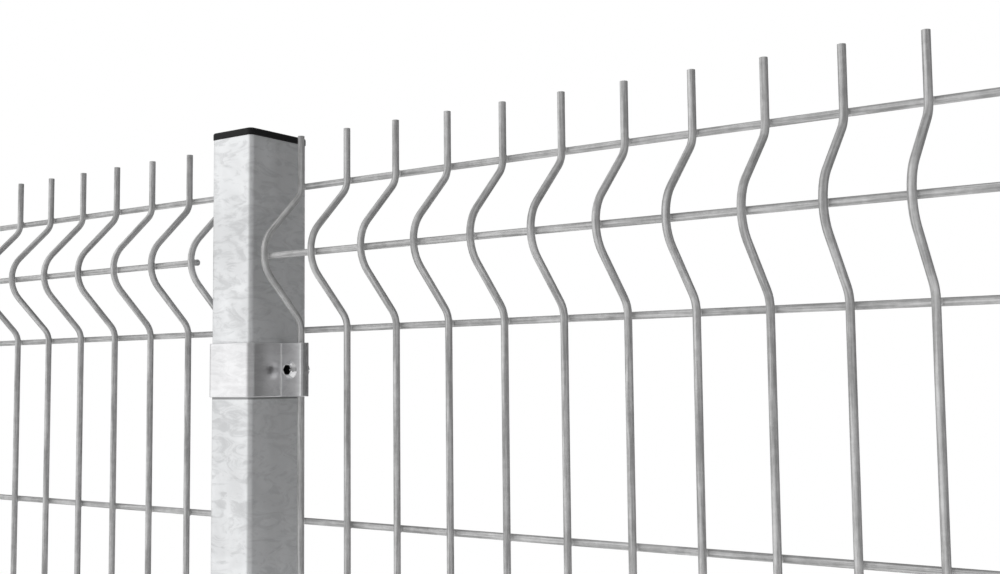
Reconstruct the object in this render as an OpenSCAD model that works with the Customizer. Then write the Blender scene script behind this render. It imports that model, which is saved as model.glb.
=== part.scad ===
// Galvanised welded mesh fence: three box tube posts and two folded mesh panels
// Origin at the foot of the middle post, +X along the fence, front towards -Y, +Z up

/* [Posts] */
// Width of a post along the fence
post_w = 45.6; // [42:0.1:48]
// Depth of a post, front to back
post_d = 64; // [60:1:70]
// Wall thickness of the tube
post_wall = 2; // [1.5:0.25:2.5]
// Outer corner radius of the tube
post_r = 4.8; // [3:0.1:6]

/* [Post caps] */
// Height of the lid above the tube
cap_lid_h = 5.8; // [4:0.2:7]
// How far the lid stands out past the tube
cap_lip = 0.6; // [0.4:0.1:1]
// Rounding of the lid's upper edge
cap_edge = 1.6; // [0.8:0.1:1.8]
// Depth of the plug inside the tube
cap_plug_h = 22; // [15:1:30]
// Wall thickness of the plug
cap_plug_wall = 1.8; // [1.5:0.1:2.2]
// Clearance between the plug and the tube, each side
cap_fit = 0.3; // [0.2:0.05:0.5]
// Width of the plug's outer ribs
cap_rib_w = 1.6; // [1.2:0.1:2]
// How far the ribs stand out from the plug
cap_rib_out = 0.5; // [0.3:0.1:0.7]
// Number of ribs round the plug
cap_rib_count = 3; // [2:1:4]

/* [Mesh panels] */
// Diameter of the upright wires
wire_d = 5.4; // [4:0.2:6]
// Diameter of the line wires
line_d = 5.2; // [4:0.2:6]
// Spacing of the upright wires
wire_pitch = 50; // [48:1:52]
// Number of upright wires in a panel
wire_count = 51; // [31:2:61]
// Height of one fold between its outer line wires
fold_h = 117.4; // [110:0.2:125]
// Height of the peak's line wire above the fold's lower one
fold_line_z = 57.4; // [54:0.2:60]
// Angle of a fold's legs from the vertical
fold_angle = 45; // [40:1:46]
// Bend radius at a fold's two ends
fold_end_r = 16; // [12:1:18]
// Bend radius at a fold's peak
fold_peak_r = 27; // [20:1:30]
// Number of folds in a panel
fold_count = 3; // [3:1:5]
// Height of one flat cell
cell_h = 153; // [140:1:160]
// Flat cells between two folds
cell_count = 4; // [3:1:5]
// Free wire ends above the top line wire
spike_h = 42; // [35:1:50]
// Wire ends below the bottom line wire
foot_h = 5; // [4:1:8]
// How deep each weld sinks the two wires into each other
weld_depth = 0.4; // [0.3:0.05:0.6]
// How far the line wires run past the panel's right end wire
line_overhang = 10; // [6:1:12]
// Gap between the ground and the mesh
ground_gap = 50; // [30:5:80]

/* [Clamps] */
// Thickness of the clamp straps
strap_t = 2; // [1.5:0.25:2]
// Height of the clamp straps
strap_h = 42; // [38:1:46]
// Distance from a line wire down to the strap's upper edge
strap_drop = 11; // [9:1:15]
// Concave radius where a strap turns out into its flange
strap_bend_r = 1.5; // [1:0.5:4]
// Outer radius of the lip round the end wire
lip_r = 2.2; // [2.1:0.1:2.4]
// Clear space between the lip and the end wire
lip_gap = 0.8; // [0.5:0.1:1.5]
// How far the rear flange runs past the end wire
rear_run = 1.4; // [1:0.1:2]
// Gap between the tube and the end wire's near side
end_gap = 17; // [16:0.1:20]

/* [Bolts] */
// Diameter of the bolts
bolt_d = 8; // [7:0.5:8]
// Diameter of the domed heads
head_d = 15.4; // [14:0.2:16]
// Height of the domed heads
head_h = 4.6; // [4:0.2:5]
// Height of the straight rim below the dome
head_rim = 0.6; // [0.4:0.1:1]
// Width of the hexagon socket across its flats
socket_w = 7; // [5:0.5:8]
// Depth of the hexagon socket
socket_deep = 3.2; // [2:0.2:3.4]
// Clearance of the bolt in the flanges, all round
bolt_fit = 0.3; // [0.2:0.05:0.4]
// Clearance of the bolt in the nut, all round
nut_fit = 0.08; // [0.05:0.01:0.1]
// Width of the nuts across their flats
nut_w = 13; // [12:0.5:13]
// Height of the nuts
nut_h = 6.5; // [6:0.5:7]
// How far the bolt stands out past the nut
bolt_end = 3; // [2:0.5:5]
// Chamfer at the bolt's end
bolt_chamfer = 0.8; // [0.5:0.1:1]
// Clear space between the bolt and the end wire
bolt_wire_gap = 0.6; // [0.4:0.1:1]

/* [Hidden] */
zinc = [0.66, 0.68, 0.69];
bright_zinc = [0.8, 0.81, 0.82];
black = [0.06, 0.06, 0.065];

// Wires as seen from the side: the upright wires' centre lies behind the post's centre
wire_y = 4.8;
line_y = wire_y + (wire_d + line_d) / 2 - weld_depth;
end_wire_x = post_w / 2 + end_gap + wire_d / 2;
panel_w = (wire_count - 1) * wire_pitch;
bay = panel_w + 2 * end_wire_x;

// One fold in its own y and z, with its lower end at 0
fold_bends = fold_end_r + fold_peak_r;
fold_leg_z = fold_h / 2 - fold_bends * sin(fold_angle);
fold_depth = fold_leg_z * tan(fold_angle) + fold_bends * (1 - cos(fold_angle));
fold_step = fold_h + cell_count * cell_h;
bottom_z = ground_gap + foot_h;
fold_zs = [for (i = [0:1:fold_count - 1]) bottom_z + i * fold_step];
top_z = fold_zs[fold_count - 1] + fold_h;
tip_z = top_z + spike_h;

// Height of the tube: it ends just under the wire tips
post_below_tips = 1.7;
post_h = tip_z - post_below_tips;

// Clamp faces: each flange touches one side of the end wire
front_flange_y = wire_y - wire_d / 2 - strap_t;
rear_flange_y = wire_y + wire_d / 2;
lip_x = end_wire_x + wire_d / 2 + lip_gap + strap_t;
rear_end_x = end_wire_x + wire_d / 2 + rear_run;
bolt_x = end_wire_x - wire_d / 2 - bolt_wire_gap - bolt_d / 2;

// Each clamp hangs below a line wire: above the lowest fold, below a middle fold and at the top
clamped_zs = [fold_zs[0] + fold_h + cell_h, fold_zs[floor(fold_count / 2)], fold_zs[fold_count - 1]];
clamp_zs = [for (z = clamped_zs) z - strap_drop - strap_h / 2];

// How far a cutter runs past the face that it cuts
cut = 1;

// End faces of a nut as a share of its width, and the slope of its chamfers
nut_face = 0.95;
nut_slope = 30;

// Rectangle with rounded corners, centred
module rounded_rect(w, d, r) {
    square([w - 2 * r, d], center = true);
    square([w, d - 2 * r], center = true);
    for (x = [-1, 1], y = [-1, 1]) translate([x * (w / 2 - r), y * (d / 2 - r)]) circle(r = r, $fn = 32);
}

// Box tube with its foot at ground level
module post() {
    color(zinc) linear_extrude(height = post_h) difference() {
        rounded_rect(post_w, post_d, post_r);
        rounded_rect(post_w - 2 * post_wall, post_d - 2 * post_wall, post_r - post_wall);
    }
}

// Cap's lid, with its upper edge rounded in steps of this angle
edge_step = 22.5;

module cap_lid() {
    lid_r = post_r + cap_lip;
    hull() {
        linear_extrude(height = cap_lid_h - cap_edge)
            rounded_rect(post_w + 2 * cap_lip, post_d + 2 * cap_lip, lid_r);
        for (a = [edge_step:edge_step:90]) {
            inset = cap_edge * (1 - cos(a));
            linear_extrude(height = cap_lid_h - cap_edge * (1 - sin(a)))
                rounded_rect(post_w + 2 * (cap_lip - inset), post_d + 2 * (cap_lip - inset), lid_r - inset);
        }
    }
}

// Ring of the cap's plug, this far inside the tube's wall
module plug_ring(gap, wall) {
    w = post_w - 2 * (post_wall + gap);
    d = post_d - 2 * (post_wall + gap);
    difference() {
        rounded_rect(w, d, post_r - post_wall);
        square([w - 2 * wall, d - 2 * wall], center = true);
    }
}

// Push-in cap: thin lid, hollow plug and the ribs that grip the tube
module cap() {
    rib_pitch = cap_plug_h / (cap_rib_count + 1);
    color(black) translate([0, 0, post_h]) {
        cap_lid();
        translate([0, 0, -cap_plug_h]) {
            linear_extrude(height = cap_plug_h) plug_ring(cap_fit + cap_rib_out, cap_plug_wall);
            for (i = [1:1:cap_rib_count]) translate([0, 0, i * rib_pitch])
                linear_extrude(height = cap_rib_w) plug_ring(cap_fit, cap_plug_wall);
        }
    }
}

// Points of a bend as [y, z, lean], each step turning by at most this angle
bend_step = 22.5;

function bend(y, z, r, from, to) =
    let (n = ceil(abs(to - from) / bend_step))
    [for (i = [0:1:n]) let (a = from + (to - from) * i / n) [y + r * cos(a), z + r * sin(a), a]];

// Centre line of an upright wire from the foot to the tip, folded out towards the front
function fold_lower(z) = bend(wire_y - fold_end_r, z, fold_end_r, 0, fold_angle);

function fold_upper(z) = bend(wire_y - fold_end_r, z, fold_end_r, -fold_angle, 0);

function fold_peak(z) = [
    for (p = bend(wire_y - fold_depth + fold_peak_r, z, -fold_peak_r, fold_angle, -fold_angle)) p
];

function wire_points() = concat(
    [[wire_y, ground_gap, 0]],
    [for (z = fold_zs) each concat(fold_lower(z), fold_peak(z + fold_h / 2), fold_upper(z + fold_h))],
    [[wire_y, tip_z, 0]]
);

// One side of the wire, half a wire's thickness off the centre line
function wire_side(side) = [
    for (p = wire_points()) [p[0] + side * wire_d / 2 * cos(p[2]), p[1] + side * wire_d / 2 * sin(p[2])]
];

function reversed(list) = [for (i = [len(list) - 1:-1:0]) list[i]];

// One folded upright wire, centred on x
module upright() {
    translate([-wire_d / 2, 0, 0]) rotate([90, 0, 90]) linear_extrude(height = wire_d)
        polygon(concat(wire_side(1), reversed(wire_side(-1))));
}

// Places of the line wires as [y, z]
fold_lines = [[line_y, 0], [line_y - fold_depth, fold_line_z], [line_y, fold_h]];
line_places = concat(
    [for (z = fold_zs, p = fold_lines) [p[0], z + p[1]]],
    [for (i = [0:1:fold_count - 2], k = [1:1:cell_count - 1]) [line_y, fold_zs[i] + fold_h + k * cell_h]]
);

// Part of a panel: the upright wires first to last, with line wires from x0 to x1
module mesh_part(first, last, x0, x1) {
    color(zinc) {
        for (i = [first:1:last]) translate([i * wire_pitch, 0, 0]) upright();
        for (p = line_places) translate([x0, p[0] - line_d / 2, p[1] - line_d / 2])
            cube([x1 - x0, line_d, line_d]);
    }
}

// A panel's two halves meet midway between two upright wires
split = floor(wire_count / 2);
split_x = (split + 0.5) * wire_pitch;

module mesh_start() {
    mesh_part(0, split, -wire_d / 2, split_x);
}

module mesh_end() {
    mesh_part(split + 1, wire_count - 1, split_x, panel_w + line_overhang);
}

module left_panel() {
    translate([-bay + end_wire_x, 0, 0]) children();
}

module right_panel() {
    translate([end_wire_x, 0, 0]) children();
}

// Quarter bend of a strap seen from above, round the origin, from one angle on
module strap_bend(inner_r, from) {
    outer_r = inner_r + strap_t;
    rotate(from) intersection() {
        difference() {
            circle(r = outer_r, $fn = 48);
            circle(r = inner_r, $fn = 48);
        }
        square(outer_r);
    }
}

// Right half of a strap round the front of the post and out along the end wire's front
module front_outline() {
    flange_x = post_w / 2 + strap_t + strap_bend_r;
    corner_y = -post_d / 2 + post_r;
    translate([0, -post_d / 2 - strap_t]) square([post_w / 2 - post_r, strap_t]);
    translate([post_w / 2 - post_r, corner_y]) strap_bend(post_r, 270);
    translate([post_w / 2, corner_y]) square([strap_t, front_flange_y - strap_bend_r - corner_y]);
    translate([flange_x, front_flange_y - strap_bend_r]) strap_bend(strap_bend_r, 90);
    translate([flange_x, front_flange_y]) square([lip_x - lip_r - flange_x, strap_t]);
    lip_outline();
}

// Lip that turns back from the flange past the end wire
module lip_outline() {
    translate([lip_x - lip_r, front_flange_y + lip_r]) strap_bend(lip_r - strap_t, 270);
    translate([lip_x - strap_t, front_flange_y + lip_r]) square([strap_t, wire_y - front_flange_y - lip_r]);
}

// Right half of a strap round the back of the post and out along the end wire's back
module rear_outline() {
    flange_x = post_w / 2 + strap_t + strap_bend_r;
    bend_y = rear_flange_y + strap_t + strap_bend_r;
    corner_y = post_d / 2 - post_r;
    translate([0, post_d / 2]) square([post_w / 2 - post_r, strap_t]);
    translate([post_w / 2 - post_r, corner_y]) strap_bend(post_r, 0);
    translate([post_w / 2, bend_y]) square([strap_t, corner_y - bend_y]);
    translate([flange_x, bend_y]) strap_bend(strap_bend_r, 180);
    translate([flange_x, rear_flange_y]) square([rear_end_x - flange_x, strap_t]);
}

// Plain left side of an end clamp, away from the panel
module free_side_outline() {
    corner_x = -post_w / 2 + post_r;
    corner_y = post_d / 2 - post_r;
    for (s = [0, 1]) mirror([0, s]) {
        translate([corner_x, post_d / 2]) square([-corner_x, strap_t]);
        translate([corner_x, corner_y]) strap_bend(post_r, 90);
    }
    translate([-post_w / 2 - strap_t, -corner_y]) square([strap_t, 2 * corner_y]);
}

// Strap at a height from its outline, with bolt holes through both flanges at these places
module strap(z, holes) {
    depth = rear_flange_y + strap_t - front_flange_y;
    color(bright_zinc) translate([0, 0, z]) difference() {
        translate([0, 0, -strap_h / 2]) linear_extrude(height = strap_h) children();
        for (x = holes) translate([x, front_flange_y - cut, 0]) rotate([-90, 0, 0])
            cylinder(r = bolt_d / 2 + bolt_fit, h = depth + 2 * cut, $fn = 32);
    }
}

module clamp_front(z) {
    strap(z, [-bolt_x, bolt_x]) {
        front_outline();
        mirror([1, 0]) front_outline();
    }
}

module clamp_rear(z) {
    strap(z, [-bolt_x, bolt_x]) {
        rear_outline();
        mirror([1, 0]) rear_outline();
    }
}

// Wrap-round clamp of an end post, with both flanges towards +X
module clamp_end(z) {
    strap(z, [bolt_x]) {
        front_outline();
        rear_outline();
        free_side_outline();
    }
}

// Domed head with a hexagon socket, its seat at 0 and its top at -head_h
module bolt_head() {
    dome_h = head_h - head_rim;
    dome_r = (head_d * head_d / 4 + dome_h * dome_h) / (2 * dome_h);
    difference() {
        intersection() {
            translate([0, 0, dome_r - head_h]) sphere(r = dome_r, $fn = 64);
            translate([0, 0, -head_h - cut]) cylinder(r = head_d / 2, h = head_h + cut, $fn = 64);
        }
        translate([0, 0, -head_h - cut]) cylinder(r = socket_w / sqrt(3), h = socket_deep + cut, $fn = 6);
    }
}

// Bolt with its head against the front flange
module bolt(x, z) {
    reach = rear_flange_y + strap_t - front_flange_y + nut_h + bolt_end;
    color(bright_zinc) translate([x, front_flange_y, z]) rotate([-90, 0, 0]) {
        bolt_head();
        cylinder(r = bolt_d / 2, h = reach - bolt_chamfer, $fn = 32);
        translate([0, 0, reach - bolt_chamfer])
            cylinder(r1 = bolt_d / 2, r2 = bolt_d / 2 - bolt_chamfer, h = bolt_chamfer, $fn = 32);
    }
}

// Hexagon nut behind the rear flange, its corners chamfered at both ends
module nut(x, z) {
    face_r = nut_face * nut_w / 2;
    cone_r = face_r + nut_h / tan(nut_slope);
    color(bright_zinc) translate([x, rear_flange_y + strap_t, z]) rotate([-90, 0, 0]) difference() {
        intersection() {
            cylinder(r = nut_w / sqrt(3), h = nut_h, $fn = 6);
            cylinder(r1 = face_r, r2 = cone_r, h = nut_h, $fn = 48);
            cylinder(r1 = cone_r, r2 = face_r, h = nut_h, $fn = 48);
        }
        translate([0, 0, -cut]) cylinder(r = bolt_d / 2 + nut_fit, h = nut_h + 2 * cut, $fn = 32);
    }
}

module at_left() {
    translate([-bay, 0, 0]) children();
}

module at_right() {
    translate([bay, 0, 0]) mirror([1, 0, 0]) children();
}

module bolts_end() {
    for (z = clamp_zs) bolt(bolt_x, z);
}

module nuts_end() {
    for (z = clamp_zs) nut(bolt_x, z);
}

module bolts_middle(z) {
    for (x = [-bolt_x, bolt_x]) bolt(x, z);
}

at_left() post();  // post_left
post();  // post_middle
at_right() post();  // post_right
at_left() cap();  // cap_left
cap();  // cap_middle
at_right() cap();  // cap_right
left_panel() mesh_start();  // mesh_left_outer
left_panel() mesh_end();  // mesh_left_inner
right_panel() mesh_start();  // mesh_right_inner
right_panel() mesh_end();  // mesh_right_outer
at_left() clamp_end(clamp_zs[0]);  // clamp_left_low
at_left() clamp_end(clamp_zs[1]);  // clamp_left_mid
at_left() clamp_end(clamp_zs[2]);  // clamp_left_top
clamp_front(clamp_zs[0]);  // clamp_middle_front_low
clamp_front(clamp_zs[1]);  // clamp_middle_front_mid
clamp_front(clamp_zs[2]);  // clamp_middle_front_top
clamp_rear(clamp_zs[0]);  // clamp_middle_rear_low
clamp_rear(clamp_zs[1]);  // clamp_middle_rear_mid
clamp_rear(clamp_zs[2]);  // clamp_middle_rear_top
at_right() clamp_end(clamp_zs[0]);  // clamp_right_low
at_right() clamp_end(clamp_zs[1]);  // clamp_right_mid
at_right() clamp_end(clamp_zs[2]);  // clamp_right_top
at_left() bolts_end();  // bolts_left
bolts_middle(clamp_zs[0]);  // bolts_middle_low
bolts_middle(clamp_zs[1]);  // bolts_middle_mid
bolts_middle(clamp_zs[2]);  // bolts_middle_top
at_right() bolts_end();  // bolts_right
at_left() nuts_end();  // nuts_left
for (z = clamp_zs, x = [-bolt_x, bolt_x]) nut(x, z);  // nuts_middle
at_right() nuts_end();  // nuts_right
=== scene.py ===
"""Dresses the galvanised welded mesh fence: posts, caps, folded wire panels, clamps and bolts."""

import math

import bpy
from mathutils import Matrix, Vector


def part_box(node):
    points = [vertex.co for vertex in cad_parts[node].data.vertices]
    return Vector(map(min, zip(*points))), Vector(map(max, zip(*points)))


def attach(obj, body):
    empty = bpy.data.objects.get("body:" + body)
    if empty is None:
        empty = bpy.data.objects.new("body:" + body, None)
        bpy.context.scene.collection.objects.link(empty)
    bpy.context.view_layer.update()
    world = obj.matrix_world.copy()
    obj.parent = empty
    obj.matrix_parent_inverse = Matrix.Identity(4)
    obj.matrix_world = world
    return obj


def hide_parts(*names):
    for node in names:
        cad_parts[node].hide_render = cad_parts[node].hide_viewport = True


bl_info = {
    "name": "Welded mesh fence dressing",
    "version": (1, 0, 0),
    "blender": (4, 5, 0),
    "location": "View3D > Sidebar > Fence",
    "description": "Builds the looks of a galvanised mesh fence round its fixed frame",
    "category": "Object",
}

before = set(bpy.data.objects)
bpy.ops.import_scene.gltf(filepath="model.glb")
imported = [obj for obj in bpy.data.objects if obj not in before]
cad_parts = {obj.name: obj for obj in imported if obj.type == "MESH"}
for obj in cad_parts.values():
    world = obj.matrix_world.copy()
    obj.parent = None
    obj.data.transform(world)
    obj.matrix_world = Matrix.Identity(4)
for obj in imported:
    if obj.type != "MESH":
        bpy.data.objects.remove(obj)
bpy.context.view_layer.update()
MM = 0.001
BODY = "root"

POST_LOW, POST_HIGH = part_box("post_middle")
CAP_LOW, CAP_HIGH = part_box("cap_middle")
MESH_LOW, MESH_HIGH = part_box("mesh_right_inner")
MESH_END_LOW, MESH_END_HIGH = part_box("mesh_right_outer")
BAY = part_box("post_right")[1].x - POST_HIGH.x
FRONT_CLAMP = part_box("clamp_middle_front_top")
REAR_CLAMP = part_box("clamp_middle_rear_top")
LEVELS = ("low", "mid", "top")
CLAMP_HEIGHTS = {
    level: sum(corner.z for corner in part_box("clamp_middle_front_" + level)) / 2 for level in LEVELS
}


# Properties


class FencePostSizes(bpy.types.PropertyGroup):
    """Sizes of the box tube posts and their caps."""

    width: bpy.props.FloatProperty(
        name="Width", description="Post width along the fence", default=POST_HIGH.x - POST_LOW.x, unit="LENGTH"
    )
    depth: bpy.props.FloatProperty(
        name="Depth", description="Post depth, front to back", default=POST_HIGH.y - POST_LOW.y, unit="LENGTH"
    )
    height: bpy.props.FloatProperty(
        name="Height", description="Height of the tube", default=POST_HIGH.z - 0.5 * MM, unit="LENGTH"
    )
    wall: bpy.props.FloatProperty(
        name="Wall", description="Thickness of the tube's wall", default=2 * MM, unit="LENGTH"
    )
    corner: bpy.props.FloatProperty(
        name="Corner", description="Outer corner radius of the tube", default=4.0 * MM, unit="LENGTH"
    )
    cap_edge: bpy.props.FloatProperty(
        name="Cap edge", description="Rounding of the cap's upper edge", default=1.6 * MM, unit="LENGTH"
    )
    plug_depth: bpy.props.FloatProperty(
        name="Plug depth", description="How far the cap's plug goes down", default=POST_HIGH.z - CAP_LOW.z,
        unit="LENGTH",
    )


class FenceMeshSizes(bpy.types.PropertyGroup):
    """Sizes of the folded welded mesh panels."""

    wire: bpy.props.FloatProperty(
        name="Upright wire", description="Diameter of the upright wires", default=5.4 * MM, unit="LENGTH"
    )
    line: bpy.props.FloatProperty(
        name="Line wire", description="Diameter of the line wires", default=5.2 * MM, unit="LENGTH"
    )
    pitch: bpy.props.FloatProperty(
        name="Spacing", description="Spacing of the upright wires", default=50 * MM, unit="LENGTH"
    )
    count: bpy.props.IntProperty(name="Upright wires", description="Upright wires in a panel", default=51)
    folds: bpy.props.IntProperty(name="Folds", description="Folds in a panel", default=3)
    fold_height: bpy.props.FloatProperty(
        name="Fold height", description="Height of one fold", default=117.4 * MM, unit="LENGTH"
    )
    fold_line: bpy.props.FloatProperty(
        name="Peak line", description="Height of the peak's line wire in its fold", default=57.4 * MM,
        unit="LENGTH",
    )
    fold_angle: bpy.props.FloatProperty(
        name="Leg angle", description="Lean of a fold's legs", default=math.radians(45), unit="ROTATION"
    )
    end_bend: bpy.props.FloatProperty(
        name="End bend", description="Bend radius at a fold's ends", default=16 * MM, unit="LENGTH"
    )
    peak_bend: bpy.props.FloatProperty(
        name="Peak bend", description="Bend radius at a fold's peak", default=27 * MM, unit="LENGTH"
    )
    cell: bpy.props.FloatProperty(
        name="Flat cell", description="Height of one flat cell", default=153 * MM, unit="LENGTH"
    )
    cells: bpy.props.IntProperty(name="Flat cells", description="Flat cells between two folds", default=4)
    foot: bpy.props.FloatProperty(
        name="Foot", description="Wire ends below the lowest line wire", default=5 * MM, unit="LENGTH"
    )
    tip_cut: bpy.props.FloatProperty(
        name="Tip cut", description="How far the wire tips end below the frame's", default=0.8 * MM, unit="LENGTH"
    )
    overhang: bpy.props.FloatProperty(
        name="Overhang", description="How far the line wires run past a panel's right end wire",
        default=2.7 * MM, unit="LENGTH",
    )
    weld: bpy.props.FloatProperty(
        name="Weld", description="How deep a weld sinks two wires into each other", default=0.4 * MM,
        unit="LENGTH",
    )


class FenceClampSizes(bpy.types.PropertyGroup):
    """Sizes of the clamp straps, bolts and nuts."""

    thickness: bpy.props.FloatProperty(
        name="Thickness", description="Thickness of the straps", default=2 * MM, unit="LENGTH"
    )
    height: bpy.props.FloatProperty(
        name="Height", description="Height of the straps", default=43.2 * MM, unit="LENGTH"
    )
    shift: bpy.props.FloatProperty(
        name="Shift", description="How far the straps' middles lie below the bolts", default=-0.1 * MM,
        unit="LENGTH",
    )
    bend: bpy.props.FloatProperty(
        name="Bend", description="Inner radius where a strap turns into its flange", default=1.5 * MM,
        unit="LENGTH",
    )
    lip: bpy.props.FloatProperty(
        name="Lip", description="Outer radius of the lip round the end wire", default=2.2 * MM, unit="LENGTH"
    )
    bolt: bpy.props.FloatProperty(name="Bolt", description="Bolt diameter", default=8 * MM, unit="LENGTH")
    head: bpy.props.FloatProperty(
        name="Head", description="Diameter of the bolt's domed head", default=15.4 * MM, unit="LENGTH"
    )
    head_height: bpy.props.FloatProperty(
        name="Head height", description="Height of the domed head", default=4.6 * MM, unit="LENGTH"
    )
    socket: bpy.props.FloatProperty(
        name="Socket", description="Hexagon socket across its flats", default=7 * MM, unit="LENGTH"
    )
    socket_depth: bpy.props.FloatProperty(
        name="Socket depth", description="Depth of the hexagon socket", default=3.2 * MM, unit="LENGTH"
    )
    nut: bpy.props.FloatProperty(
        name="Nut", description="Nut width across its flats", default=13 * MM, unit="LENGTH"
    )
    nut_height: bpy.props.FloatProperty(
        name="Nut height", description="Height of the nut", default=6.5 * MM, unit="LENGTH"
    )


class FenceFinish(bpy.types.PropertyGroup):
    """Colours of the fence's finishes."""

    post: bpy.props.FloatVectorProperty(
        name="Post zinc", description="Bright zinc of the posts", default=(0.80, 0.81, 0.82), subtype="COLOR"
    )
    wire: bpy.props.FloatVectorProperty(
        name="Wire zinc", description="Greyer zinc of the wires", default=(0.575, 0.575, 0.575), subtype="COLOR"
    )
    strap: bpy.props.FloatVectorProperty(
        name="Strap zinc", description="Zinc of the clamp straps", default=(0.88, 0.88, 0.89), subtype="COLOR"
    )
    bolt: bpy.props.FloatVectorProperty(
        name="Bolt zinc", description="Plating of the bolts", default=(0.85, 0.85, 0.86), subtype="COLOR"
    )
    cap: bpy.props.FloatVectorProperty(
        name="Cap plastic", description="Black of the caps", default=(0.006, 0.006, 0.0065), subtype="COLOR"
    )


class FenceStudio(bpy.types.PropertyGroup):
    """The camera's place and the studio's light."""

    eye: bpy.props.FloatVectorProperty(
        name="Eye", description="Place of the camera", default=(0.7287, -0.7020, 1.4718), subtype="TRANSLATION",
        unit="LENGTH",
    )
    pan: bpy.props.FloatProperty(
        name="Pan", description="Turn to the left of square on", default=math.radians(34.724), unit="ROTATION"
    )
    tilt: bpy.props.FloatProperty(
        name="Tilt", description="Upward tilt of the view", default=math.radians(4.421), unit="ROTATION"
    )
    roll: bpy.props.FloatProperty(
        name="Roll", description="Roll of the view", default=math.radians(-0.614), unit="ROTATION"
    )
    focal: bpy.props.FloatProperty(
        name="Focal length", description="Focal length in picture widths", default=1.20255
    )
    key: bpy.props.FloatProperty(name="Key", description="Strength of the key light", default=0.92)
    key_azimuth: bpy.props.FloatProperty(
        name="Key azimuth", description="How far left of square on the key light comes from",
        default=math.radians(46), unit="ROTATION",
    )
    key_height: bpy.props.FloatProperty(
        name="Key height", description="Elevation of the key light", default=math.radians(5), unit="ROTATION"
    )
    right: bpy.props.FloatProperty(name="Right", description="Strength of the light from the right", default=0.2)
    above: bpy.props.FloatProperty(name="Above", description="Strength of the light from above", default=0.4)
    back: bpy.props.FloatProperty(name="Back", description="Strength of the light from behind", default=0.2)
    fill: bpy.props.FloatProperty(name="Fill", description="Strength of the room's light", default=0.13)


# Mesh making


def place(name, bm_or_data, material, nodes):
    """Links a finished mesh as a piece that stands for its frame nodes."""
    piece = bpy.data.objects.new(name, bm_or_data)
    bpy.context.scene.collection.objects.link(piece)
    piece.data.materials.clear()
    piece.data.materials.append(material)
    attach(piece, BODY)
    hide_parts(*nodes)
    return piece


def joined(name, parts, sharp=math.radians(28)):
    """One smooth mesh out of several (vertices, faces) pairs."""
    points, faces = [], []
    for part_points, part_faces in parts:
        start = len(points)
        points += part_points
        faces += [[start + i for i in face] for face in part_faces]
    data = bpy.data.meshes.new(name)
    data.from_pydata(points, [], faces)
    data.update()
    data.shade_smooth()
    data.set_sharp_from_angle(angle=sharp)
    return data


def moved(part, matrix):
    points, faces = part
    turned = matrix.determinant() < 0
    return [matrix @ Vector(p) for p in points], [face[::-1] for face in faces] if turned else faces


def loft(rings, close_first=True, close_last=True):
    """Skin over rings of equal length. Rings run anticlockwise seen from the last one's side."""
    count = len(rings[0])
    points = [point for ring in rings for point in ring]
    faces = []
    for r in range(len(rings) - 1):
        for i in range(count):
            j = (i + 1) % count
            faces.append([r * count + i, r * count + j, (r + 1) * count + j, (r + 1) * count + i])
    if close_first:
        faces.append(list(range(count))[::-1])
    if close_last:
        last = (len(rings) - 1) * count
        faces.append([last + i for i in range(count)])
    return points, faces


CORNER_STEPS = 8
SHOULDER = 0.4 * MM


def rounded_ring(width, depth, corner, z):
    """Rounded rectangle at height z, with a support point beside each corner for even shading."""
    ring = []
    for quarter in range(4):
        middle = math.radians(45 + 90 * quarter)
        cx = math.copysign(width / 2 - corner, math.cos(middle))
        cy = math.copysign(depth / 2 - corner, math.sin(middle))
        start = math.radians(90 * quarter)
        first = Vector((math.cos(start), math.sin(start), 0))
        last = Vector((-math.sin(start), math.cos(start), 0))
        centre = Vector((cx, cy, z))
        ring.append(centre + corner * first - SHOULDER * last)
        for i in range(CORNER_STEPS + 1):
            angle = start + math.radians(90) * i / CORNER_STEPS
            ring.append(centre + corner * Vector((math.cos(angle), math.sin(angle), 0)))
        ring.append(centre + corner * last - SHOULDER * first)
    return ring


def tube(width, depth, corner, wall, low, high, edge=0.25 * MM):
    """Box tube with slightly softened ends."""
    inner = max(corner - wall, 0.5 * MM)
    outside = [
        rounded_ring(width - 2 * edge, depth - 2 * edge, corner - edge, low),
        rounded_ring(width, depth, corner, low + edge),
        rounded_ring(width, depth, corner, high - edge),
        rounded_ring(width - 2 * edge, depth - 2 * edge, corner - edge, high),
    ]
    inside = [
        rounded_ring(width - 2 * wall, depth - 2 * wall, inner, high),
        rounded_ring(width - 2 * wall, depth - 2 * wall, inner, low),
    ]
    points, faces = loft(outside + inside, False, False)
    count = len(outside[0])
    last = (len(outside) + 1) * count
    faces += [[last + i, last + (i + 1) % count, (i + 1) % count, i] for i in range(count)]
    return points, faces


def walk(start, heading, moves, step=math.radians(9)):
    """Centre line of bent sheet seen from above, as (x, y, heading) points.

    A move is ("go", length) or ("turn", radius, angle), with a positive angle to the left.
    """
    x, y = start
    path = [(x, y, heading)]
    for kind, *sizes in moves:
        if kind == "go":
            x += sizes[0] * math.cos(heading)
            y += sizes[0] * math.sin(heading)
            path.append((x, y, heading))
            continue
        radius, angle = sizes
        steps = max(2, round(abs(angle) / step))
        side = math.copysign(1, angle)
        cx = x - side * radius * math.sin(heading)
        cy = y + side * radius * math.cos(heading)
        for i in range(1, steps + 1):
            now = heading + angle * i / steps
            path.append((cx + side * radius * math.sin(now), cy - side * radius * math.cos(now), now))
        x, y, heading = path[-1]
    return path


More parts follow.
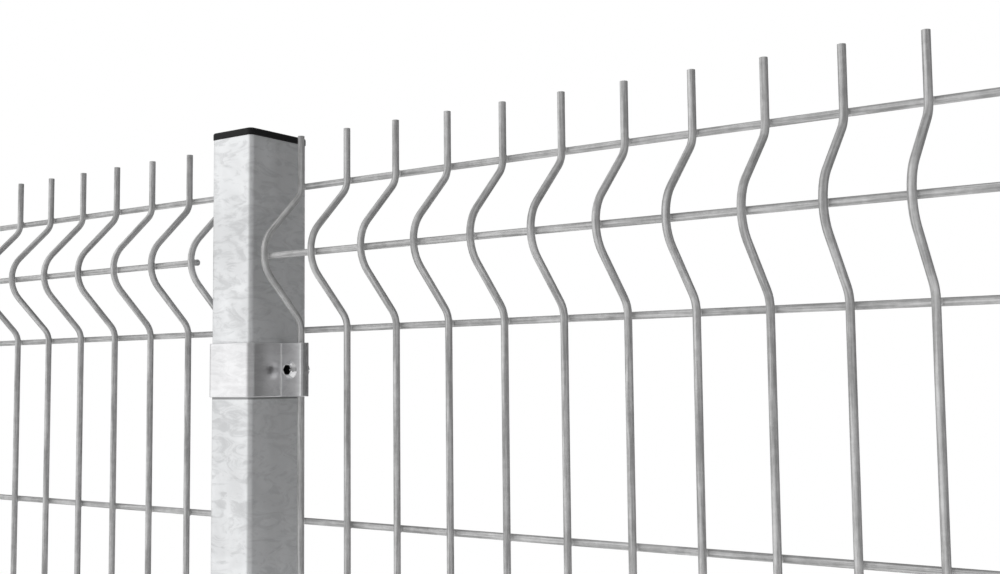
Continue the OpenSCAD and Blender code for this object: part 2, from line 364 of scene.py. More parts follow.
def sheet(path, thickness, low, high, edge=0.35 * MM):
    """Strip of sheet metal standing on its edge along a path, with softened edges."""
    half = thickness / 2
    section = [
        (-half + edge, low), (half - edge, low), (half, low + edge), (half, high - edge),
        (half - edge, high), (-half + edge, high), (-half, high - edge), (-half, low + edge),
    ]
    rings = []
    for x, y, heading in path:
        side = Vector((-math.sin(heading), math.cos(heading)))
        rings.append([Vector((x + side.x * a, y + side.y * a, z)) for a, z in section])
    points, faces = loft(rings)
    return points, [face[::-1] for face in faces]


def turned_rings(profile, steps, shape=None):
    """Rings about the y axis: profile holds (radius, y) pairs, shape may limit a radius by its angle."""
    rings = []
    for radius, y in profile:
        ring = []
        for i in range(steps):
            angle = 2 * math.pi * i / steps
            r = min(radius, shape(angle)) if shape else radius
            ring.append(Vector((r * math.cos(angle), y, -r * math.sin(angle))))
        rings.append(ring)
    return rings


def hexagon(width):
    """Distance from the centre to a hexagon's side, by angle."""
    return lambda angle: width / 2 / math.cos((angle % math.radians(60)) - math.radians(30))


# Shader making


class Value:
    """A number that changes over a surface, with the operators that its maths needs."""

    def __init__(self, maker, socket):
        self.maker = maker
        self.socket = socket

    def maths(self, operation, first, second=0.0):
        return self.maker.value("ShaderNodeMath", {"operation": operation}, {0: first, 1: second})

    def __add__(self, other):
        return self.maths("ADD", self, other)

    __radd__ = __add__

    def __sub__(self, other):
        return self.maths("SUBTRACT", self, other)

    def __rsub__(self, other):
        return self.maths("SUBTRACT", other, self)

    def __mul__(self, other):
        return self.maths("MULTIPLY", self, other)

    __rmul__ = __mul__

    def __truediv__(self, other):
        return self.maths("DIVIDE", self, other)

    def __rtruediv__(self, other):
        return self.maths("DIVIDE", other, self)

    def __pow__(self, other):
        return self.maths("POWER", self, other)

    def least(self, other):
        return self.maths("MINIMUM", self, other)

    def most(self, other):
        return self.maths("MAXIMUM", self, other)

    def between(self, low, high):
        """0 below low, 1 above high, and smooth between."""
        settings = {"interpolation_type": "SMOOTHSTEP"}
        return self.maker.value("ShaderNodeMapRange", settings, {"Value": self, "From Min": low, "From Max": high})


class Maker:
    """Adds nodes to a tree: settings first, then the values or links of its inputs."""

    def __init__(self, tree):
        self.tree = tree

    def add(self, kind, settings=None, inputs=None):
        node = self.tree.nodes.new(kind)
        for name, setting in (settings or {}).items():
            if name == "stops":
                self.set_stops(node.color_ramp.elements, setting)
            else:
                setattr(node, name, setting)
        for key, given in (inputs or {}).items():
            self.feed(self.input_of(node, key), given)
        return node

    def input_of(self, node, key):
        if isinstance(key, int):
            return node.inputs[key]
        return next(socket for socket in node.inputs if socket.name == key and socket.enabled)

    def feed(self, socket, given):
        if isinstance(given, Value):
            given = given.socket
        if isinstance(given, bpy.types.NodeSocket):
            self.tree.links.new(given, socket)
        else:
            socket.default_value = given

    def set_stops(self, elements, stops):
        while len(elements) < len(stops):
            elements.new(1.0)
        for element, (position, colour) in zip(elements, stops):
            element.position = position
            element.color = colour

    def out(self, kind, settings=None, inputs=None, output=0):
        """The named or numbered output socket of a new node."""
        outputs = self.add(kind, settings, inputs).outputs
        if isinstance(output, int):
            return outputs[output]
        return next(socket for socket in outputs if socket.name == output and socket.enabled)

    def value(self, kind, settings=None, inputs=None, output=0):
        return Value(self, self.out(kind, settings, inputs, output))


class Surface(Maker):
    """One material with a principled shader."""

    def __init__(self, name, colour, **constants):
        self.material = bpy.data.materials.new(name)
        self.material.use_nodes = True
        self.material.diffuse_color = (*colour, 1)
        super().__init__(self.material.node_tree)
        self.shader = next(node for node in self.tree.nodes if node.type == "BSDF_PRINCIPLED")
        self.place = self.out("ShaderNodeTexCoord", output="Object")
        self.feed(self.shader.inputs["Base Color"], (*colour, 1))
        for socket, number in constants.items():
            self.feed(self.shader.inputs[socket.replace("_", " ").title().replace("Ior", "IOR")], number)

    def stretched(self, scale):
        return self.out("ShaderNodeMapping", inputs={"Vector": self.place, "Scale": scale})

    def noise(self, scale, detail=3.0, roughness=0.55, stretch=(1, 1, 1), distortion=0.0):
        """Cloudy pattern from 0 to 1; scale is in clouds a metre."""
        inputs = {
            "Vector": self.stretched(stretch), "Scale": scale, "Detail": detail, "Roughness": roughness,
            "Distortion": distortion,
        }
        return self.value("ShaderNodeTexNoise", inputs=inputs)

    def mix(self, factor, first, second):
        settings = {"data_type": "RGBA", "blend_type": "MIX"}
        inputs = {"Factor": factor, "A": first, "B": second}
        return self.out("ShaderNodeMix", settings, inputs, "Result")

    def colour(self, factor, dark, light):
        self.feed(self.shader.inputs["Base Color"], self.mix(factor, (*dark, 1), (*light, 1)))

    def roughness(self, given):
        self.feed(self.shader.inputs["Roughness"], given)

    def bump(self, height, distance, strength=1.0):
        inputs = {"Height": height, "Distance": distance, "Strength": strength}
        self.feed(self.shader.inputs["Normal"], self.out("ShaderNodeBump", inputs=inputs))


def shade(colour, share):
    return tuple(channel * share for channel in colour)


def painted_strap_shadows(made):
    """1 on the painted shadow lines on a post below and above each clamp strap, else 0."""
    height = made.value("ShaderNodeSeparateXYZ", inputs={0: made.place}, output="Z")
    strap = bpy.context.scene.fence_clamps
    line = 0.0
    for bolt_z in CLAMP_HEIGHTS.values():
        low = bolt_z - strap.shift - strap.height / 2
        high = low + strap.height
        below = height.between(low - 2.4 * MM, low - 1.2 * MM) * (height * -1).between(-high, -low - 0.1 * MM)
        above = height.between(high - 1 * MM, high) * (height * -1).between(-high - 0.9 * MM, -high)
        line = below + above * 0.25 + line
    return line


def post_zinc(colour):
    """Hot-dip zinc on the tubes: pale, with level wavy marks, faint runs down it and a fine grain, and painted shadow
    lines at the clamp straps.
    """
    made = Surface("Post zinc", colour, metallic=0.75)
    clouds = made.noise(24, 4, 0.6, (1, 1, 0.8), 0.6)
    waves = made.noise(62, 4, 0.62, (0.6, 0.6, 1.5), 1.6)
    runs = made.noise(60, 3, 0.5, (1, 1, 0.06), 0.2)
    grain = made.noise(900, 2, 0.5)
    marks = waves.between(0.36, 0.56)
    tone = marks * (clouds * 0.5 + 0.25) + clouds.between(0.35, 0.65) * 0.25 + runs * 0.25 + grain * 0.1
    zinc = made.mix(tone, (*shade(colour, 0.76), 1), (*shade(colour, 1.12), 1))
    # Painted shadow: darker zinc for the thin lines below and above each clamp strap.
    painted_dark = made.mix(clouds, (*shade(colour, 0.3), 1), (*shade(colour, 0.5), 1))
    made.feed(made.shader.inputs["Base Color"], made.mix(painted_strap_shadows(made), zinc, painted_dark))
    made.roughness(0.52 - tone * 0.16)
    made.bump(waves * 0.5 + runs * 0.5 + grain * 0.06, 0.25 * MM, 0.5)
    return made.material


def strap_zinc(colour):
    """Zinc on the clamp straps: brighter, with short level scratches."""
    made = Surface("Strap zinc", colour, metallic=1.0)
    marks = made.noise(120, 4, 0.65, (0.45, 0.45, 1.3), 1.0)
    patches = made.noise(45, 3, 0.6)
    grain = made.noise(1000, 2, 0.5)
    tone = marks.between(0.36, 0.62) * 0.5 + patches.between(0.35, 0.65) * 0.35 + grain * 0.15
    made.colour(tone, shade(colour, 0.82), shade(colour, 1.04))
    made.roughness(0.34 - tone * 0.06)
    made.bump(marks * 0.4 + patches * 0.3 + grain * 0.08, 0.2 * MM, 0.4)
    return made.material


def wire_zinc(colour):
    """Zinc on the wires: greyer, with streaks along each wire and uneven tone."""
    made = Surface("Wire zinc", colour, metallic=0.7)
    along = made.value("ShaderNodeAttribute", {"attribute_name": "along"}, output="Fac")
    around = made.value("ShaderNodeAttribute", {"attribute_name": "around"}, output="Fac")
    turn = made.value("ShaderNodeAttribute", {"attribute_name": "turn"}, output="Fac")
    angle = around * (2 * math.pi)
    ring_x = made.value("ShaderNodeMath", {"operation": "COSINE"}, {0: angle})
    ring_y = made.value("ShaderNodeMath", {"operation": "SINE"}, {0: angle})
    on_wire = made.out(
        "ShaderNodeCombineXYZ", inputs={"X": ring_x + turn * 40, "Y": ring_y + turn * 17, "Z": along * 14}
    )
    streaks = made.value("ShaderNodeTexNoise", inputs={"Vector": on_wire, "Scale": 1.6, "Detail": 4.0})
    blotches = made.noise(160, 3, 0.6)
    tone = streaks.between(0.36, 0.64) * 0.75 + blotches.between(0.35, 0.7) * 0.25
    made.colour(tone, shade(colour, 0.66), shade(colour, 1.26))
    made.roughness(0.62 - tone * 0.14)
    made.bump(streaks * 0.6 + blotches * 0.4, 0.2 * MM, 0.5)
    return made.material


def bolt_zinc(colour):
    """Bright plating on bolts and nuts, with painted shade in the bolts' sockets and round the rims of their heads."""
    made = Surface("Bolt zinc", colour, metallic=1.0)
    wear = made.noise(500, 3, 0.6)
    # Painted shade: the attribute read here turns the bolts' sockets and the rims of their heads near black.
    pit = made.value("ShaderNodeAttribute", {"attribute_name": "pit"}, output="Fac")
    plating = made.mix(wear, (*shade(colour, 0.85), 1), (*shade(colour, 1.05), 1))
    made.feed(made.shader.inputs["Base Color"], made.mix(pit, plating, (0.01, 0.01, 0.01, 1)))
    made.roughness(0.08 + wear * 0.06 + pit * 0.6)
    made.bump(wear, 0.05 * MM, 0.3)
    return made.material


def cap_plastic(colour):
    """Black moulded plastic with a fine spark-eroded grain."""
    made = Surface("Cap plastic", colour, metallic=0.0, specular_ior_level=0.25)
    grain = made.noise(1800, 2, 0.5)
    dust = made.noise(60, 3, 0.6)
    made.colour(dust, shade(colour, 0.9), shade(colour, 1.6))
    made.roughness(0.5 + grain * 0.12)
    made.bump(grain, 0.05 * MM, 0.4)
    return made.material


# Welded mesh, made by geometry nodes


def fold_path(sizes, top):
    """Centre line of one upright wire as (y, z) points, with its thinner cut ends."""
    wire_y = MESH_HIGH.y - sizes.wire - sizes.line + sizes.weld + sizes.wire / 2
    lean = sizes.fold_angle
    bends = sizes.end_bend + sizes.peak_bend
    leg = sizes.fold_height / 2 - bends * math.sin(lean)
    depth = leg * math.tan(lean) + bends * (1 - math.cos(lean))
    bottom = MESH_LOW.z + sizes.foot
    step = sizes.fold_height + sizes.cells * sizes.cell
    end = 0.5 * MM
    points = [(wire_y, MESH_LOW.z, 0.8), (wire_y, MESH_LOW.z + end, 1.0)]
    for fold in range(sizes.folds):
        low = bottom + fold * step
        middle = low + sizes.fold_height / 2
        ends = [lean * i / 4 for i in range(5)]
        lower = [
            (wire_y - sizes.end_bend * (1 - math.cos(a)), low + sizes.end_bend * math.sin(a)) for a in ends
        ]
        peak = [
            (wire_y - depth + sizes.peak_bend * (1 - math.cos(a)), middle - sizes.peak_bend * math.sin(a))
            for a in (lean * (1 - i / 5) for i in range(11))
        ]
        upper = [(y, 2 * middle - z) for y, z in reversed(lower)]
        points += [(y, z, 1.0) for y, z in lower + peak + upper]
    points += [(wire_y, top - end, 1.0), (wire_y, top, 0.8)]
    line_y = wire_y + (sizes.wire + sizes.line) / 2 - sizes.weld
    lines = []
    for fold in range(sizes.folds):
        low = bottom + fold * step
        lines += [(line_y, low), (line_y - depth, low + sizes.fold_line), (line_y, low + sizes.fold_height)]
        if fold < sizes.folds - 1:
            cells = range(1, sizes.cells)
            lines += [(line_y, low + sizes.fold_height + k * sizes.cell) for k in cells]
    return points, lines


def mesh_seed(name, sizes):
    """Wire path and line places as one loose mesh that the node tree turns into a panel."""
    path, lines = fold_path(sizes, MESH_HIGH.z - sizes.tip_cut)
    data = bpy.data.meshes.new(name)
    points = [(0, y, z) for y, z, _ in path] + [(0, y, z) for y, z in lines]
    data.from_pydata(points, [(i, i + 1) for i in range(len(path) - 1)], [])
    thickness = data.attributes.new("thickness", "FLOAT", "POINT")
    thickness.data.foreach_set("value", [t for _, _, t in path] + [1.0] * len(lines))
    is_line = data.attributes.new("is_line", "BOOLEAN", "POINT")
    is_line.data.foreach_set("value", [False] * len(path) + [True] * len(lines))
    return data


MESH_INPUTS = (
    ("Wire Radius", "NodeSocketFloat"),
    ("Line Radius", "NodeSocketFloat"),
    ("Spacing", "NodeSocketFloat"),
    ("Wires", "NodeSocketInt"),
    ("First Wire", "NodeSocketFloat"),
    ("Line Start", "NodeSocketFloat"),
    ("Line End", "NodeSocketFloat"),
    ("Seed", "NodeSocketInt"),
    ("Finish", "NodeSocketMaterial"),
)
WIRE_SIDES = 14
LINE_SIDES = 14


def mesh_tree():
    """Node tree: a folded wire repeated along the panel, line wires behind it and a weld at each crossing."""
    tree = bpy.data.node_groups.new("Welded mesh", "GeometryNodeTree")
    face = tree.interface
    face.new_socket("Geometry", in_out="INPUT", socket_type="NodeSocketGeometry")
    for name, kind in MESH_INPUTS:
        face.new_socket(name, in_out="INPUT", socket_type=kind)
    face.new_socket("Geometry", in_out="OUTPUT", socket_type="NodeSocketGeometry")
    maker = Maker(tree)
    given = {socket.name: socket for socket in maker.add("NodeGroupInput").outputs}

    def number(operation, first, second=0.0):
        return maker.out("ShaderNodeMath", {"operation": operation}, {0: first, 1: second})

    def named(attribute, kind="FLOAT"):
        settings = {"data_type": kind}
        return maker.out("GeometryNodeInputNamedAttribute", settings, {"Name": attribute}, "Attribute")

    def stored(geometry, attribute, given_value, domain="POINT"):
        settings = {"data_type": "FLOAT", "domain": domain}
        inputs = {"Geometry": geometry, "Name": attribute, "Value": given_value}
        return maker.out("GeometryNodeStoreNamedAttribute", settings, inputs)

    def rod(curve, radius, sides):
        """Round wire along a curve, with its length and its turn kept for the finish."""
        length = maker.out("GeometryNodeSplineParameter", output="Length")
        factor = maker.out("GeometryNodeSplineParameter", output="Factor")
        ring = maker.out("GeometryNodeCurvePrimitiveCircle", {"mode": "RADIUS"}, {"Resolution": sides, "Radius": radius})
        inputs = {"Curve": stored(curve, "along", length), "Profile Curve": stored(ring, "around", factor), "Fill Caps": True}
        return maker.out("GeometryNodeCurveToMesh", inputs=inputs)

    parts = maker.add(
        "GeometryNodeSeparateGeometry", {"domain": "POINT"},
        {"Geometry": given["Geometry"], "Selection": named("is_line", "BOOLEAN")},
    )
    places, path = parts.outputs[0], parts.outputs[1]
    path_curve = maker.out("GeometryNodeMeshToCurve", inputs={"Mesh": path})
    tapered = maker.out(
        "GeometryNodeSetCurveRadius", inputs={"Curve": path_curve, "Radius": named("thickness")}
    )
    upright = rod(tapered, given["Wire Radius"], WIRE_SIDES)
    step = maker.out("ShaderNodeCombineXYZ", inputs={"X": given["Spacing"]})
    start = maker.out("ShaderNodeCombineXYZ", inputs={"X": given["First Wire"]})
    row = maker.out(
        "GeometryNodeMeshLine", {"mode": "OFFSET"},
        {"Count": given["Wires"], "Start Location": start, "Offset": step},
    )
    uprights = maker.out("GeometryNodeInstanceOnPoints", inputs={"Points": row, "Instance": upright})

    run = number("SUBTRACT", given["Line End"], given["Line Start"])
    line_end = maker.out("ShaderNodeCombineXYZ", inputs={"X": run})
    line_start = maker.out("ShaderNodeCombineXYZ", inputs={"X": given["Line Start"]})
    straight = maker.out("GeometryNodeCurvePrimitiveLine", inputs={"End": line_end})
    line = rod(straight, given["Line Radius"], LINE_SIDES)
    moved_places = maker.out("GeometryNodeSetPosition", inputs={"Geometry": places, "Offset": line_start})
    lines = maker.out("GeometryNodeInstanceOnPoints", inputs={"Points": moved_places, "Instance": line})

    crossings = maker.out("GeometryNodeInstanceOnPoints", inputs={"Points": places, "Instance": row})
    crossing_points = maker.out("GeometryNodeRealizeInstances", inputs={"Geometry": crossings})
    bead = maker.out(
        "GeometryNodeMeshUVSphere", inputs={"Segments": 10, "Rings": 6, "Radius": given["Wire Radius"]}
    )
    weld_size = maker.out(
        "FunctionNodeRandomValue", {"data_type": "FLOAT_VECTOR"},
        {"Min": (1.05, 0.42, 1.05), "Max": (1.3, 0.6, 1.3), "Seed": given["Seed"]},
    )
    to_weld = maker.out("ShaderNodeCombineXYZ", inputs={"Y": number("MULTIPLY", given["Line Radius"], -0.95)})
    weld_points = maker.out("GeometryNodeSetPosition", inputs={"Geometry": crossing_points, "Offset": to_weld})
    welds = maker.out(
        "GeometryNodeInstanceOnPoints", inputs={"Points": weld_points, "Instance": bead, "Scale": weld_size}
    )

    tone = maker.out("FunctionNodeRandomValue", {"data_type": "FLOAT"}, {"Seed": given["Seed"]}, "Value")
    joined_up = maker.add("GeometryNodeJoinGeometry")
    for instances in (uprights, lines, welds):
        tree.links.new(stored(instances, "turn", tone, "INSTANCE"), joined_up.inputs[0])
    solid = maker.out("GeometryNodeRealizeInstances", inputs={"Geometry": joined_up.outputs[0]})
    smooth = maker.out("GeometryNodeSetShadeSmooth", inputs={"Geometry": solid})
    finished = maker.out("GeometryNodeSetMaterial", inputs={"Geometry": smooth, "Material": given["Finish"]})
    maker.add("NodeGroupOutput", inputs={"Geometry": finished})
    return tree


def grown(name, seed, tree, settings):
    """The mesh that a node tree makes from a seed mesh."""
    carrier = bpy.data.objects.new(name + "_seed", seed)
    bpy.context.scene.collection.objects.link(carrier)
    modifier = carrier.modifiers.new("Mesh", "NODES")
    modifier.node_group = tree
    for item in tree.interface.items_tree:
        if item.in_out == "INPUT" and item.name in settings:
            modifier[item.identifier] = settings[item.name]
    bpy.context.view_layer.update()
    evaluated = carrier.evaluated_get(bpy.context.evaluated_depsgraph_get())
    data = bpy.data.meshes.new_from_object(evaluated)
    data.name = name
    carrier.modifiers.remove(modifier)
    bpy.data.objects.remove(carrier)
    data.set_sharp_from_angle(angle=math.radians(40))
    return data


# Operators


class FENCE_OT_posts(bpy.types.Operator):
    """Builds the box tube posts."""

    bl_idname = "fence.posts"
    bl_label = "Posts"

    def execute(self, context):
        sizes = context.scene.fence_posts
        finish = post_zinc(context.scene.fence_finish.post)
        for name, x in (("left", -BAY), ("middle", 0), ("right", BAY)):
            part = tube(sizes.width, sizes.depth, sizes.corner, sizes.wall, 0, sizes.height)
            data = joined("post_tube_" + name, [moved(part, Matrix.Translation((x, 0, 0)))])
            place(data.name, data, finish, ["post_" + name])
        return {"FINISHED"}


class FENCE_OT_caps(bpy.types.Operator):
    """Builds the push-in post caps."""

    bl_idname = "fence.caps"
    bl_label = "Caps"

    def lid(self, sizes):
        low = sizes.height
        high = low + CAP_HIGH.z - POST_HIGH.z
        width, depth = CAP_HIGH.x - CAP_LOW.x, CAP_HIGH.y - CAP_LOW.y
        corner = sizes.corner + (width - sizes.width) / 2
        edge = sizes.cap_edge
        foot = 0.3 * MM
        rings = [
            rounded_ring(width - 2 * foot, depth - 2 * foot, corner - foot, low),
            rounded_ring(width, depth, corner, low + foot),
        ]
        for i in range(5):
            angle = math.radians(90) * i / 4
            inset = edge * (1 - math.cos(angle))
            z = high - edge * (1 - math.sin(angle))
            rings.append(rounded_ring(width - 2 * inset, depth - 2 * inset, corner - inset, z))
        rings.append(rounded_ring(width - 2 * edge - 1 * MM, depth - 2 * edge - 1 * MM, corner - edge, high))
        return loft(rings)

    def plug(self, sizes):
        gap = sizes.wall + 0.8 * MM
        width, depth = sizes.width - 2 * gap, sizes.depth - 2 * gap
        return tube(width, depth, 1.7 * MM, 1.8 * MM, sizes.height - sizes.plug_depth, sizes.height)

    def execute(self, context):
        sizes = context.scene.fence_posts
        finish = cap_plastic(context.scene.fence_finish.cap)
        for name, x in (("left", -BAY), ("middle", 0), ("right", BAY)):
            shift = Matrix.Translation((x, 0, 0))
            parts = [moved(self.lid(sizes), shift), moved(self.plug(sizes), shift)]
            data = joined("post_cap_" + name, parts)
            place(data.name, data, finish, ["cap_" + name])
        return {"FINISHED"}


class FENCE_OT_mesh(bpy.types.Operator):
    """Builds the folded welded mesh panels."""

    bl_idname = "fence.mesh"
    bl_label = "Welded mesh"

    def execute(self, context):
        sizes = context.scene.fence_mesh
        finish = wire_zinc(context.scene.fence_finish.wire)
        tree = mesh_tree()
        for seed_number, (node, is_start) in enumerate((
            ("mesh_left_outer", True), ("mesh_left_inner", False),
            ("mesh_right_inner", True), ("mesh_right_outer", False),
        )):
            low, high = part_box(node)
            wires = sizes.count // 2 + 1 if is_start else sizes.count - sizes.count // 2 - 1
            first = low.x + (sizes.wire / 2 if is_start else sizes.pitch / 2)
            line_end = high.x if is_start else first + (wires - 1) * sizes.pitch + sizes.overhang
            settings = {
                "Wire Radius": sizes.wire / 2, "Line Radius": sizes.line / 2, "Spacing": sizes.pitch,
                "Wires": wires, "First Wire": first, "Line Start": low.x, "Line End": line_end,
                "Seed": seed_number, "Finish": finish,
            }
            name = node.replace("mesh", "wires")
            data = grown(name, mesh_seed(name, sizes), tree, settings)
            place(name, data, finish, [node])
        return {"FINISHED"}


class FENCE_OT_clamps(bpy.types.Operator):
    """Builds the bent clamp straps."""

    bl_idname = "fence.clamps"
    bl_label = "Clamps"

    def front_moves(self, sizes, post):
        """From the end of the lip to the middle of the strap's front."""
        half = sizes.thickness / 2
        quarter = math.radians(90)
        lip_x = FRONT_CLAMP[1].x
        flange_y = REAR_CLAMP[0].y - context_wire() - sizes.thickness
        start = (lip_x - half, FRONT_CLAMP[1].y)
        lip_turn = sizes.lip - half
        bend = sizes.bend + half
        corner = post.corner + half
        side_x = post.width / 2 + half
        return start, [
            ("go", start[1] - flange_y - sizes.lip),
            ("turn", lip_turn, -quarter),
            ("go", start[0] - lip_turn - side_x - bend),
            ("turn", bend, quarter),
            ("go", flange_y + half - bend + post.depth / 2 + half - corner),
            ("turn", corner, -quarter),
            ("go", side_x - corner),
        ]

    def rear_moves(self, sizes, post):
        """From the end of the rear flange to the middle of the strap's back."""
        half = sizes.thickness / 2
        quarter = math.radians(90)
        bend = sizes.bend + half
        corner = post.corner + half
        side_x = post.width / 2 + half
        start = (REAR_CLAMP[1].x, REAR_CLAMP[0].y + half)
        return start, [
            ("go", start[0] - side_x - bend),
            ("turn", bend, -quarter),
            ("go", post.depth / 2 + half - corner - start[1] - bend),
            ("turn", corner, quarter),
            ("go", side_x - corner),
        ]

    def both_sides(self, path):
        """A half path and its mirror image as one strip."""
        back = [(-x, y, -heading) for x, y, heading in reversed(path[:-1])]
        return path + [(x, y, heading) for x, y, heading in back]

    def execute(self, context):
        sizes, post = context.scene.fence_clamps, context.scene.fence_posts
        finish = strap_zinc(context.scene.fence_finish.strap)
        down, left = math.radians(-90), math.radians(180)
        front_start, front_moves = self.front_moves(sizes, post)
        rear_start, rear_moves = self.rear_moves(sizes, post)
        front = walk(front_start, down, front_moves)
        rear = walk(rear_start, left, rear_moves)
        half = sizes.height / 2
        for level, bolt_z in CLAMP_HEIGHTS.items():
            z = bolt_z - sizes.shift
            for name, path in (("front", self.both_sides(front)), ("rear", self.both_sides(rear))):
                part = sheet(path, sizes.thickness, z - half, z + half)
                data = joined(f"strap_middle_{name}_{level}", [part])
                place(data.name, data, finish, [f"clamp_middle_{name}_{level}"])
            for side, x, turn in (("left", -BAY, 1), ("right", BAY, -1)):
                corner = post.corner + sizes.thickness / 2
                side_x = post.width / 2 + sizes.thickness / 2
                rest = [
                    ("go", side_x - corner), ("turn", corner, -math.radians(90)),
                    ("go", post.depth - 2 * post.corner), ("turn", corner, -math.radians(90)),
                    ("go", side_x - corner),
                ]
                wrap = walk(front_start, down, front_moves + rest)
                back = [(x0, y0, heading + left) for x0, y0, heading in reversed(rear[:-1])]
                shift = Matrix.Translation((x, 0, 0)) @ Matrix.Diagonal((turn, 1, 1, 1))
                part = moved(sheet(wrap + back, sizes.thickness, z - half, z + half), shift)
                data = joined(f"strap_{side}_{level}", [part])
                place(data.name, data, finish, [f"clamp_{side}_{level}"])
        return {"FINISHED"}


def context_wire():
    return bpy.context.scene.fence_mesh.wire


class FENCE_OT_bolts(bpy.types.Operator):
    """Builds the domed bolts and their nuts."""

    bl_idname = "fence.bolts"
    bl_label = "Bolts and nuts"
    steps = 36
    # Painted shade for each ring of a bolt's mesh: full in the socket, none on the dome, and darker again round the rim
    # of the head where it sits on the strap.
    painted_dark = (1.0,) * 3 + (0.0,) * 7 + (0.25, 0.7, 0.8, 0.8, 0.0)

    def bolt(self, sizes, reach):
        """Domed head with a hexagon socket, and a shank with a few turns of thread at its end."""
        steps = self.steps
        dome = (sizes.head**2 / 4 + sizes.head_height**2) / (2 * sizes.head_height)
        top = sizes.head / 2 * 0.985
        rim_y = -0.5 * MM
        mouth = sizes.socket / math.sqrt(3) * 1.12
        socket = hexagon(sizes.socket)
        rings = turned_rings([(0.01 * MM, -sizes.head_height + sizes.socket_depth + 0.9 * MM)], steps)
        rings += turned_rings([(sizes.socket, -sizes.head_height + sizes.socket_depth)], steps, socket)
        rings += turned_rings([(sizes.socket, -sizes.head_height + 0.55 * MM)], steps, socket)
        rings += turned_rings([(mouth, -sizes.head_height + 0.12 * MM)], steps)
        for i in range(1, 8):
            r = mouth + (top - mouth) * i / 7
            y = min(-(math.sqrt(dome**2 - r**2) - (dome - sizes.head_height)), rim_y)
            rings += turned_rings([(r, y)], steps)
        rings += turned_rings([(sizes.head / 2, -0.3 * MM), (sizes.head / 2 - 0.2 * MM, 0), (sizes.bolt / 2, 0)], steps)
        pitch = 1.25 * MM
        y = pitch * 2
        while y < reach - pitch:
            rings += turned_rings([(sizes.bolt / 2, y), (sizes.bolt / 2 * 0.86, y + pitch / 2)], steps)
            y += pitch
        rings += turned_rings([(sizes.bolt / 2 * 0.95, reach - 0.6 * MM), (sizes.bolt / 2 * 0.8, reach)], steps)
        return loft(rings)

    def nut(self, sizes):
        """Hexagon nut with rounded-off corners and a countersunk bore."""
        steps = 48
        hex_side = hexagon(sizes.nut)
        inner = sizes.bolt / 2 + 0.07 * MM
        flat = sizes.nut / 2 * 0.97
        corner = sizes.nut / math.sqrt(3)
        bevel = 0.9 * MM
        outer = [(flat, 0), (corner, bevel), (corner, sizes.nut_height - bevel), (flat, sizes.nut_height)]
        rings = turned_rings(outer, steps, hex_side)
        rings += turned_rings([(inner + 0.5 * MM, sizes.nut_height), (inner, sizes.nut_height - 0.5 * MM)], steps)
        rings += turned_rings([(inner, 0.5 * MM), (inner + 0.5 * MM, 0)], steps)
        points, faces = loft(rings, False, False)
        last = (len(rings) - 1) * steps
        faces += [[last + i, last + (i + 1) % steps, (i + 1) % steps, i] for i in range(steps)]
        return points, faces

    def execute(self, context):
        sizes, clamp = context.scene.fence_clamps, context.scene.fence_clamps
        finish = bolt_zinc(context.scene.fence_finish.bolt)
        low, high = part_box("bolts_middle_top")
        bolt_x = high.x - sizes.head / 2
        flange_y = low.y + sizes.head_height
        reach = high.y - flange_y
        nut_y = REAR_CLAMP[0].y + clamp.thickness
        sets = [("middle_" + level, 0, (-bolt_x, bolt_x), (level,)) for level in LEVELS]
        sets += [("left", -BAY, (bolt_x,), LEVELS), ("right", BAY, (-bolt_x,), LEVELS)]
        for name, x0, offsets, levels in sets:
            parts = []
            for x in offsets:
                for level in levels:
                    shift = Matrix.Translation((x0 + x, flange_y, CLAMP_HEIGHTS[level]))
                    parts.append(moved(self.bolt(sizes, reach), shift))
            data = joined("bolt_set_" + name, parts)
            # Painted shade on each point, taken from the ring it belongs to.
            pit = data.attributes.new("pit", "FLOAT", "POINT")
            painted_shade_values = [self.painted_dark[min(i // self.steps, len(self.painted_dark) - 1)] for points, _ in parts for i in range(len(points))]
            pit.data.foreach_set("value", painted_shade_values)
            place(data.name, data, finish, ["bolts_" + name])
        for name, x0, offsets in (("middle", 0, (-bolt_x, bolt_x)), ("left", -BAY, (bolt_x,)), ("right", BAY, (-bolt_x,))):
            parts = []
            for x in offsets:
                for level in LEVELS:
                    shift = Matrix.Translation((x0 + x, nut_y, CLAMP_HEIGHTS[level]))
                    parts.append(moved(self.nut(sizes), shift))
            data = joined("nut_set_" + name, parts)
            place(data.name, data, finish, ["nuts_" + name])
        return {"FINISHED"}


